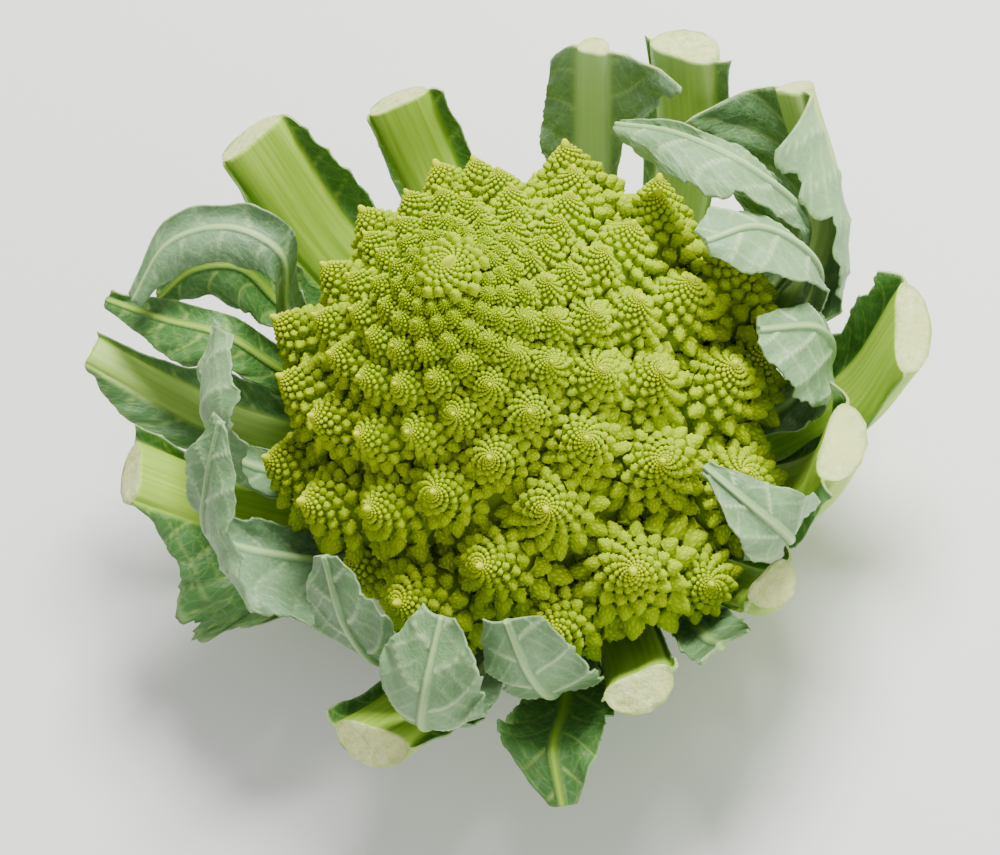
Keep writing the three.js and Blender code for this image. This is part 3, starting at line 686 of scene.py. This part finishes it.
WRAPPER_LEAVES = [
    Plan([[6, 17, 29], [4, 62, 29], [359, 92, 64], [2, 86, 98], [16, 76, 105], [31, 70, 102]],
         [[9, 62, 31], [6, 90, 66], [11, 86, 99], [20, 77, 107], [31, 71, 103]],
         [[359, 62, 31], [355, 90, 70], [354, 82, 101], [3, 68, 106], [27, 68, 101]], pale=0.9),
    Plan([[332, 17, 29], [333, 62, 29], [335, 88, 58], [334, 88, 78], [330, 75, 90]],
         [[338, 62, 31], [341, 87, 60], [339, 86, 78], [333, 75, 91]],
         [[328, 62, 31], [322, 88, 60], [320, 84, 80], [327, 75, 90]], pale=0.8),
    Plan([[298, 17, 29], [298, 62, 29], [297, 88, 62], [295, 102, 79], [294, 95, 93], [295, 78, 97]],
         [[303, 62, 31], [304, 90, 60], [303, 103, 80], [299, 94, 93], [296, 79, 98]],
         [[293, 62, 30], [291, 90, 62], [288, 99, 85], [289, 94, 94], [294, 79, 97]], pale=0.9),
    Plan([[247, 17, 29], [247, 62, 28], [248, 92, 56], [247, 93, 76], [246, 85, 90]],
         [[253, 62, 30], [258, 94, 60], [257, 95, 78], [253, 87, 91]],
         [[241, 62, 30], [240, 88, 54], [239, 89, 74], [241, 83, 89]], pale=0.9),
    Plan([[232, 17, 23], [232, 56, 28], [230, 91, 51], [229, 105, 65], [231, 102, 80], [234, 84, 93]],
         [[237, 56, 30], [237, 90, 50], [239, 101, 68], [241, 99, 83], [237, 85, 94]],
         [[227, 56, 30], [224, 90, 50], [222, 98, 68], [223, 94, 86], [230, 81, 94]], pale=0.9),
    Plan([[213, 17, 29], [213, 62, 29], [215, 87, 57], [212, 87, 78], [206, 77, 94]],
         [[218, 62, 31], [222, 87, 58], [220, 82, 86], [209, 76, 96]],
         [[208, 62, 31], [206, 87, 58], [203, 88, 76], [203, 79, 92]], pale=0.9),
    Plan([[181, 17, 29], [181, 62, 29], [180, 84, 52], [176, 96, 68], [173, 89, 86], [166, 79, 97]],
         [[188, 62, 30], [200, 88, 56], [190, 97, 66], [180, 84, 86], [169, 78, 98]],
         [[175, 62, 30], [174, 82, 60], [171, 97, 72], [168, 94, 88], [163, 81, 97]], pale=0.9),
    Plan([[156, 17, 29], [156, 56, 31], [158, 86, 54], [153, 89, 76], [140, 85, 86]],
         [[162, 56, 33], [168, 80, 58], [162, 76, 88], [143, 78, 90]],
         [[151, 56, 33], [154, 88, 58], [148, 92, 76], [138, 88, 84]], pale=0.8),
    Plan([[120, 17, 23], [122, 56, 28], [124, 84, 56], [124, 94, 73], [128, 104, 77], [133, 113, 72]],
         [[125, 60, 31], [130, 82, 58], [131, 88, 67], [130, 98, 70], [133, 111, 70]],
         [[117, 56, 30], [116, 84, 58], [119, 90, 77], [124, 104, 81], [132, 114, 74]]),
    Plan([[349, 17, 24], [347, 60, 31], [347, 88, 63], [347, 90, 84], [349, 80, 101], [346, 66, 109]],
         [[349, 60, 33], [351, 88, 64], [352, 86, 88], [356, 72, 105], [349, 64, 111]],
         [[344, 60, 33], [343, 89, 63], [341, 91, 82], [338, 78, 101], [343, 66, 107]], (4, 2), pale=0.9),
    Plan([[130, 17, 29], [130, 60, 31], [128, 77, 62], [121, 78, 86], [122, 92, 92], [128, 107, 91],
          [137, 114, 84]],
         [[132, 60, 33], [131, 77, 63], [127, 76, 82], [127, 87, 87], [131, 102, 86], [137, 113, 83]],
         [[128, 60, 34], [122, 76, 68], [115, 78, 88], [118, 94, 95], [125, 110, 94], [136, 116, 85]],
         (4, 2), pale=0.8),
    Plan([[141, 17, 22], [137, 62, 30], [138, 78, 58], [138, 88, 74], [137, 107, 75], [135, 128, 73]],
         [[139, 62, 32], [144, 78, 60], [144, 88, 72], [144, 100, 72], [139, 116, 73], [136, 128, 72]],
         [[135, 62, 32], [134, 78, 62], [134, 88, 75], [134, 110, 77], [134.5, 127, 75]], (4, 2)),
]

# Steps in a leaf's mesh
ROWS = 96  # along it
RIB_STEPS = 12
BLADE_STEPS = 24
CUT_LAYERS = 8  # steps through the thickness of a cut end
COARSE_ROWS = 8.0  # the solids' steps along a leaf, which their waves are counted in

# The rib, in shares of its depth or of its half width
SLIM_RIB = 4.0  # in mm: a rib that ends wider than this was cut
SLIM_DEPTH_SHARE = 0.7  # slim ribs are flatter than in the solids
RIB_INWARDS = 0.3
RIB_OUTWARDS = 0.7
GROOVE_DEPTH = 0.25  # along the inner face of a thick rib
GROOVE_WIDTH = 0.45
RIDGE_COUNT = 11
RIDGE_HEIGHT = 0.035
SLANT_START = 0.875  # how far along the leaf it begins
SKIN = 1.5  # in mm: how wide the smooth rim of a cut face is

# The blade, in mm
BLADE_HALF = (0.46, 0.28)  # half its thickness at the rib and at the margin
VEIN_ABOVE = -0.16  # veins lie in grooves on the inner face
VEIN_BELOW = 0.55
PUCKER = 0.95  # how far the blade arches up between its veins
PUCKER_REACH = 5.0  # from a vein to the top of that arch
CALM_REACH = 6.0  # from the rib to where it is full
FINE_WAVE = 0.07  # to the blade's width
MOST_FINE_WAVE = 2.0
VEIN_SPACING = 13.0
VEIN_WIDTH = (0.75, 0.35)  # at the rib and at the margin
VEIN_LEAN = 0.75  # how far veins run forwards for each mm outwards
VEIN_CURVE = 0.006
TWIG_SPACING = 0.55 * VEIN_SPACING
TWIG_WIDTH = 0.45
TWIG_LEAN = 1.3

# Torn margins: depth as a share of the blade's width, and waves in radians for each mm of the leaf's length
TEETH, TEETH_PITCH = 0.09, 0.32
NICKS, NICKS_PITCH = 0.05, 0.9
TEARS, TEARS_PITCH = 0.55, 0.12
TEARS_FROM = 0.65  # only where the wave is higher than this
MOST_TORN = 0.4
TORN_WIDTH = 12.0  # narrower blades in mm are torn less

RIB_ACROSS = np.sin(np.linspace(-1, 1, RIB_STEPS + 1) * math.pi / 2)  # -1 at its right edge and 1 at its left


class Curve:
    """A smooth curve through places, as the solids' curves are: centripetal Catmull-Rom."""

    def __init__(self, places):
        azimuth, distance, height = np.array(places, float).T
        inner = ring_at(np.radians(azimuth), distance, height)
        self.knots = np.vstack([2 * inner[0] - inner[1], inner, 2 * inner[-1] - inner[-2]])
        self.spans = len(inner) - 1

    def point(self, t):
        along = np.clip(t, 0, 1) * self.spans
        first = np.minimum(along.astype(int), self.spans - 1)
        w = (along - first)[:, None]
        x0, x1, x2, x3 = (self.knots[first + k] for k in range(4))
        pairs = ((x0, x1), (x1, x2), (x2, x3))
        d0, d1, d2 = (np.sqrt(np.linalg.norm(b - a, axis=1))[:, None] for a, b in pairs)
        t1 = ((x1 - x0) / d0 - (x2 - x0) / (d0 + d1) + (x2 - x1) / d1) * d1
        t2 = ((x2 - x1) / d1 - (x3 - x1) / (d1 + d2) + (x3 - x2) / d2) * d1
        return x1 + t1 * w + (-3 * x1 + 3 * x2 - 2 * t1 - t2) * w**2 + (2 * x1 - 2 * x2 + t1 + t2) * w**3

    def tangent(self, t):
        return unit(self.point(t + 1e-4) - self.point(t - 1e-4))


def grid_normals(grid):
    return unit(np.cross(np.gradient(grid, axis=0), np.gradient(grid, axis=1)))


def grid_quads(rows, columns, start=0):
    """Quads of a grid of points, the first of which has the number start."""
    i, j = np.meshgrid(np.arange(rows - 1), np.arange(columns - 1), indexing="ij")
    corner = (start + i * columns + j).ravel()
    return np.stack([corner, corner + 1, corner + columns + 1, corner + columns], 1)


def sheet_faces(rows, columns):
    """Quads of a sheet's upper side, whose points come first, its under side, its margins and its foot."""
    count = rows * columns
    upper, under = grid_quads(rows, columns), grid_quads(rows, columns, count)
    right = np.arange(rows - 1) * columns
    left = right + columns - 1
    foot = np.arange(columns - 1)
    closing = [(right, right + count, right + columns + count, right + columns),
               (left, left + columns, left + columns + count, left + count),
               (foot + 1, foot + 1 + count, foot + count, foot)]
    return np.concatenate([upper[:, [0, 3, 2, 1]], under] + [np.stack(corners, 1) for corners in closing])


def waves(x, seed, octaves=3):
    """A smooth wandering line through 0 with a size of about 1, the same each run."""
    draw = np.random.default_rng(seed)
    total = np.zeros_like(x)
    for octave in range(octaves):
        pitch = 2.0**octave
        total += np.sin(x * pitch * draw.uniform(0.8, 1.2) + draw.uniform(0, FULL_TURN)) / pitch
    return total / 1.6


def veins(run, wide_of, off_rib, share, number):
    """How strong the veins are, and how far in mm the nearest side vein is. Side veins leave the rib in turn
    on its two sides and run forwards to the margin, with twigs that cross between them."""
    phase = np.where(wide_of < 0, 0.25, 0.75) + 0.37 * number
    forward = run - VEIN_LEAN * off_rib - VEIN_CURVE * off_rib**2
    turns = forward / VEIN_SPACING + phase + 0.1 * np.sin(off_rib * 0.3 + number)
    near = np.abs(turns - np.round(turns)) * VEIN_SPACING
    vein = np.exp(-((near / lerp(VEIN_WIDTH, share)) ** 2)) * (1 - 0.35 * share)
    turns = (run + TWIG_LEAN * off_rib) / TWIG_SPACING + phase * 1.7
    near_twig = np.abs(turns - np.round(turns)) * TWIG_SPACING
    twig = np.exp(-((near_twig / TWIG_WIDTH) ** 2)) * 0.4 * np.clip(off_rib / 4, 0, 1)
    return np.maximum(vein, twig) * (share > 0), near


class Leaf:
    """A leaf's lines at even steps t along it. run is the length from the stalk in mm, side points to the
    leaf's left and inner to its inner face."""

    def __init__(self, plan, number):
        self.plan, self.number = plan, number
        self.t = np.linspace(0, 1, ROWS + 1)
        spine = Curve(plan.spine)
        self.point, self.along = spine.point(self.t), spine.tangent(self.t)
        steps = np.linalg.norm(np.diff(self.point, axis=0), axis=1)
        self.run = np.concatenate([[0], np.cumsum(steps)])
        self.side = np.zeros_like(self.point)
        azimuth = math.radians(plan.spine[0][0])
        left = np.array([-math.sin(azimuth), math.cos(azimuth), 0.0])
        for i, ahead in enumerate(self.along):
            left = left - ahead * left.dot(ahead)
            left /= np.linalg.norm(left)
            self.side[i] = left
        self.inner = np.cross(self.along, self.side)
        self.is_cut = plan.width[1] > SLIM_RIB
        self.half = lerp(plan.width, self.t) / 2
        self.depth = lerp(plan.depth, self.t) * (1 if self.is_cut else SLIM_DEPTH_SHARE)

    def rib(self):
        """The rib's middle surface, and how thick the rib is above and below it."""
        a = RIB_ACROSS
        deep = self.depth[:, None]
        bevel = np.clip((self.t - SLANT_START) / (1 - SLANT_START), 0, 1)
        ends = self.plan.slant * self.half * bevel
        middle = (self.point[:, None] + self.side[:, None] * (self.half[:, None] * a)[..., None]
                  + self.along[:, None] * (ends[:, None] * a)[..., None])
        rounded = np.sqrt(np.maximum(0, 1 - a * a))
        groove = GROOVE_DEPTH * np.exp(-((a / GROOVE_WIDTH) ** 2)) * self.is_cut
        waved = np.cos(RIDGE_COUNT * np.arccos(np.clip(a, -1, 1)) + self.number)
        ridges = 1 + RIDGE_HEIGHT * waved * self.is_cut
        above = BLADE / 2 + RIB_INWARDS * deep * (rounded - groove)
        below = BLADE / 2 + RIB_OUTWARDS * deep * rounded * ridges
        return middle, above, below

    def kept(self, wide, seed):
        """The share of the blade's width that teeth, nicks and tears leave at each step."""
        torn = TEETH * np.maximum(0, waves(self.run * TEETH_PITCH, seed + 3, 2))
        torn += NICKS * np.abs(waves(self.run * NICKS_PITCH, seed + 5, 2))
        torn += TEARS * np.maximum(0, waves(self.run * TEARS_PITCH, seed + 7, 2) - TEARS_FROM)
        return 1 - np.clip(torn * np.clip(wide / TORN_WIDTH, 0, 1), 0, MOST_TORN)

    def blade(self, places, edge, sign):
        """One blade's middle surface from the rib's edge outwards, where sign is 1 on the left and -1 on the
        right. Also returns how far each point is from the rib, in mm and as a share of the blade's width."""
        margin = Curve([self.plan.spine[0]] + places).point(self.t)
        # next to the stalk the blade is drawn in to its rib
        margin = margin + (edge - margin) * (0.85 * np.maximum(0, 1 - 4 * self.t))[:, None]
        # the margin stays clear of the rib, and no further ahead than to the side
        out = sign * ((margin - edge) * self.side).sum(1)
        margin = margin + self.side * (sign * np.maximum(0, LEAST_BLADE - out))[:, None]
        ahead = ((margin - edge) * self.along).sum(1)
        span = np.linalg.norm(margin - edge, axis=1)
        wide = np.sqrt(np.maximum(1e-6, span**2 - ahead**2))
        margin = margin + self.along * (np.clip(ahead, -wide, wide) - ahead)[:, None]
        bend = edge + self.side * (sign * np.minimum(0.5, 1.5 * self.t) * wide)[:, None]
        kept = self.kept(wide, 10 * self.number + sign)
        b = (np.arange(1, BLADE_STEPS + 1) / BLADE_STEPS)[None] * kept[:, None]
        sheet = (edge[:, None] * ((1 - b) ** 2)[..., None] + bend[:, None] * (2 * b * (1 - b))[..., None]
                 + margin[:, None] * (b * b)[..., None])
        turn = math.pi * 1.1 * COARSE_ROWS * self.t + self.number + sign
        ripple = np.minimum(RIPPLE, 0.08 * wide) * np.sin(turn)
        wander = waves(self.run * 0.42, 20 * self.number + sign + 1, 2)
        fine = np.clip(FINE_WAVE * wide * wander * np.clip(wide / 10, 0, 1), -MOST_FINE_WAVE, MOST_FINE_WAVE)
        lift = ripple[:, None] * b * b + fine[:, None] * b**2.5
        return sheet + self.inner[:, None] * lift[..., None], wide[:, None] * b, b

    def end(self, top, bottom, wide_of):
        """The face that closes the leaf's end, in layers through its thickness and rough where the rib was
        sliced. Also returns how far inside the skin each point is, from 0 to 1."""
        layers = np.linspace(0, 1, CUT_LAYERS + 1)
        points = top[:, None] * (1 - layers)[None, :, None] + bottom[:, None] * layers[None, :, None]
        deep = np.linalg.norm(top - bottom, axis=1)[:, None] * np.minimum(layers, 1 - layers)[None]
        across = np.maximum(self.half[-1] - np.abs(wide_of), 0.0)[:, None]
        core = np.clip(np.minimum(deep, across) / SKIN, 0, 1)
        draw = np.random.default_rng(300 + self.number)
        steps = 0.5 * waves(wide_of * 0.35, 400 + self.number)[:, None]
        rough = core * (draw.normal(0, 0.16, core.shape) + steps) * (1.0 if self.is_cut else 0.2)
        return points + self.along[-1] * rough[..., None], core


def leaf_piece(name, plan, number):
    """One leaf as a closed sheet: its middle surface, with waves and veins, thickened to both sides."""
    leaf = Leaf(plan, number)
    rib, above_rib, below_rib = leaf.rib()
    right, right_off, right_share = leaf.blade(plan.right, rib[:, 0], -1)
    left, left_off, left_share = leaf.blade(plan.left, rib[:, -1], 1)
    half = leaf.half[:, None]
    middle = np.concatenate([right[:, ::-1], rib, left], 1)
    wide_of = np.concatenate([-right_off[:, ::-1] - half, half * RIB_ACROSS, left_off + half], 1)
    share = np.concatenate([right_share[:, ::-1], np.zeros_like(rib[..., 0]), left_share], 1)
    off_rib = np.maximum(0, np.abs(wide_of) - half)
    vein, near = veins(leaf.run[:, None], wide_of, off_rib, share, number)
    calm = np.clip(off_rib / CALM_REACH, 0, 1) * (share > 0)
    arch = np.minimum(1, near / PUCKER_REACH) * calm - 0.5
    middle = middle + grid_normals(middle) * (PUCKER * arch * calm)[..., None]

    normal = grid_normals(middle)
    above = lerp(BLADE_HALF, share) + VEIN_ABOVE * vein
    below = lerp(BLADE_HALF, share) + VEIN_BELOW * vein
    rib_columns = slice(BLADE_STEPS, BLADE_STEPS + RIB_STEPS + 1)
    above[:, rib_columns] = above_rib
    below[:, rib_columns] = below_rib
    upper_side = middle + normal * above[..., None]
    under_side = middle - normal * below[..., None]
    end, core = leaf.end(upper_side[-1], under_side[-1], wide_of[-1])
    points = np.concatenate([group.reshape(-1, 3) for group in (upper_side, under_side, end)])

    rib_mask = np.zeros_like(share)
    rib_mask[:, rib_columns] = 1.0 if leaf.is_cut else np.exp(-((RIB_ACROSS / 0.6) ** 2))
    if leaf.is_cut:
        rib_mask = np.maximum(rib_mask, np.exp(-((off_rib / 1.2) ** 2)))
    edge = np.clip((share - 0.93) / 0.07, 0, 1)
    run = np.stack([leaf.run[:, None] + 0 * share, wide_of, np.full_like(share, 7.0 * number)], -1)
    rows, columns = share.shape
    count = rows * columns
    layers = CUT_LAYERS + 1
    attributes = {
        "vein": [vein.ravel(), vein.ravel(), np.zeros(core.size)],
        "rib": [rib_mask.ravel(), rib_mask.ravel(), np.repeat(rib_mask[-1], layers)],
        "edge": [edge.ravel(), edge.ravel(), 1 - core.ravel()],
        "upper": [np.ones(count), np.zeros(count), np.full(core.size, 0.5)],
        "run": [run.reshape(-1, 3), run.reshape(-1, 3), np.repeat(run[-1], layers, axis=0)],
        "pale": [np.full(len(points), plan.pale)],
    }
    attributes = {key: np.concatenate(groups) for key, groups in attributes.items()}
    sheet, closing = sheet_faces(rows, columns), grid_quads(columns, layers, 2 * count)
    material = np.repeat([0, int(leaf.is_cut)], [len(sheet), len(closing)])
    faces = np.concatenate([sheet, closing])
    piece = mesh_object(f"{name}_blade", points, faces, attributes, [LEAF, CUT], material)
    shell = bmesh.new()
    shell.from_mesh(piece.data)
    bmesh.ops.remove_doubles(shell, verts=shell.verts, dist=1e-6)
    shell.to_mesh(piece.data)
    shell.free()
    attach(piece, "root")
    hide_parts(name)


for number, plan in enumerate(CUT_LEAVES):
    leaf_piece(f"cut_leaf_{number + 1}", plan, number)
for number, plan in enumerate(WRAPPER_LEAVES):
    leaf_piece(f"wrapper_leaf_{number + 1}", plan, number + len(CUT_LEAVES))

for piece in curd_pieces() + [heart_piece(), tip_piece()]:
    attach(piece, "root")
    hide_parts("curd")


# The stalk

def stalk_piece():
    """The cut stump: a ridged skin round a flat fibrous face that stands on the floor."""
    around, bevel, skin_from, groove = 120, 1.6, 0.6, 0.7
    angles = even_angles(around)
    grooves = 0.5 * np.sin(7 * angles) + 0.3 * np.sin(17 * angles + 1)
    rings, edge = [], []
    for share in np.linspace(0.04, 1, 16):
        radius = (STALK_RADIUS - bevel + 0.4 * grooves * share) * share
        level = 0.12 * np.abs(waves(angles * 9 + share * 20, 71)) * (1 - share)
        rings.append(ring_at(angles, radius, level))
        edge += [max(0.0, (share - 0.86) / 0.14)] * around
    face_rings = len(rings)
    for share in np.linspace(0, 1, 26):
        drawn_in = bevel * (1 - min(1, share * 8)) + groove
        taper = 1 - 0.2 * max(0.0, (share - 0.88) / 0.12)
        radius = (STALK_RADIUS - drawn_in + groove * grooves) * taper
        rings.append(ring_at(angles, radius, skin_from + share * (STALK_HEIGHT - skin_from)))
        edge += [0.0] * around
    points = np.vstack(rings + [[[0, 0, 0.1]], [[0, 0, STALK_HEIGHT]]])
    count = len(points)
    blank = np.zeros(count)
    run = np.stack([points[:, 2], np.arctan2(points[:, 1], points[:, 0]) * STALK_RADIUS, blank], -1)
    attributes = {"rib": np.ones(count), "upper": blank, "vein": blank, "edge": edge + [0.0, 0.0],
                  "pale": blank, "run": run}
    on_face = np.arange(len(rings) - 1) < face_rings - 1
    material = np.concatenate([np.repeat(on_face, 2 * around), np.tile([1, 0], around)])
    faces = closed_tube(len(rings), around)
    piece = mesh_object("stalk_stump", points, faces, attributes, [LEAF, CUT], material)
    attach(piece, "root")
    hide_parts("stalk")


stalk_piece()


# The floor, the camera and the light

FLOOR_HALF = 4.0  # in metres


def floor():
    mesh = bpy.data.meshes.new("floor")
    corners = [(x * FLOOR_HALF, y * FLOOR_HALF, 0) for x, y in ((-1, -1), (1, -1), (1, 1), (-1, 1))]
    mesh.from_pydata(corners, [], [(0, 1, 2, 3)])
    plane = bpy.data.objects.new("floor", mesh)
    bpy.context.scene.collection.objects.link(plane)
    make = Nodes("pale_floor", specular=0.2, roughness=0.8)
    patches = make.noise(make.place(), scale=3.0, detail=3.0)
    mesh.materials.append(make.finish(make.mix(patches, (0.86, 0.86, 0.85), (0.9, 0.9, 0.89))))


floor()

# The view was fitted to the photograph: the head seen from above its side and turned in the picture
VIEW_ELEVATION = math.radians(58.8)
VIEW_ROLL = math.radians(29.8)
PIXEL = 0.281 * MM  # what one pixel of the photograph spans at the rim
VIEW_DISTANCE = 1.6
SENSOR_WIDTH = 36
PHOTO_SIZE = (1000, 855)
RIM_PIXEL = (508.5, 370.3)  # where the rim's centre lies in the photograph
right = Vector((1, 0, 0))
upwards = Vector((0, math.sin(VIEW_ELEVATION), math.cos(VIEW_ELEVATION)))
towards = Vector((0, -math.cos(VIEW_ELEVATION), math.sin(VIEW_ELEVATION)))
picture_right = right * math.cos(VIEW_ROLL) - upwards * math.sin(VIEW_ROLL)
picture_up = right * math.sin(VIEW_ROLL) + upwards * math.cos(VIEW_ROLL)
aim = (Vector((0, 0, RIM_HEIGHT * MM)) + picture_right * (PHOTO_SIZE[0] / 2 - RIM_PIXEL[0]) * PIXEL
       + picture_up * (RIM_PIXEL[1] - PHOTO_SIZE[1] / 2) * PIXEL)
camera = bpy.data.objects.new("camera", bpy.data.cameras.new("camera"))
bpy.context.scene.collection.objects.link(camera)
turn = Matrix((picture_right, picture_up, towards)).transposed().to_4x4()
turn.translation = aim + towards * VIEW_DISTANCE
camera.matrix_world = turn
camera.data.sensor_width = SENSOR_WIDTH
camera.data.lens = SENSOR_WIDTH * VIEW_DISTANCE / (PHOTO_SIZE[0] * PIXEL)
bpy.context.scene.camera = camera

LIT_POINT = Vector((0, 0, 0.07))  # the middle of the head
WORLD_STRENGTH = 0.55


def area_light(name, direction, distance, size, watts, colour=(1, 1, 1)):
    """A round lamp that points at the head, with its distance and size in metres."""
    light = bpy.data.objects.new(name, bpy.data.lights.new(name, "AREA"))
    light.data.shape = "DISK"
    light.data.size = size
    light.data.energy = watts
    light.data.color = colour
    light.location = LIT_POINT + Vector(direction).normalized() * distance
    light.rotation_euler = (LIT_POINT - light.location).to_track_quat("-Z", "Y").to_euler()
    bpy.context.scene.collection.objects.link(light)


area_light("key", picture_right * 0.1 + picture_up * 0.95 + towards * 0.6, distance=1.5, size=0.7, watts=56,
           colour=(1, 0.99, 0.96))
area_light("fill", picture_right * 0.8 - picture_up * 0.2 + towards * 0.7, distance=1.8, size=1.2, watts=12)
area_light("low", Vector((0, -1, 0.35)), distance=1.8, size=1.2, watts=7)

world = bpy.data.worlds.new("studio")
bpy.context.scene.world = world
world.use_nodes = True
background = world.node_tree.nodes["Background"]
background.inputs["Color"].default_value = (1, 1, 1, 1)
background.inputs["Strength"].default_value = WORLD_STRENGTH
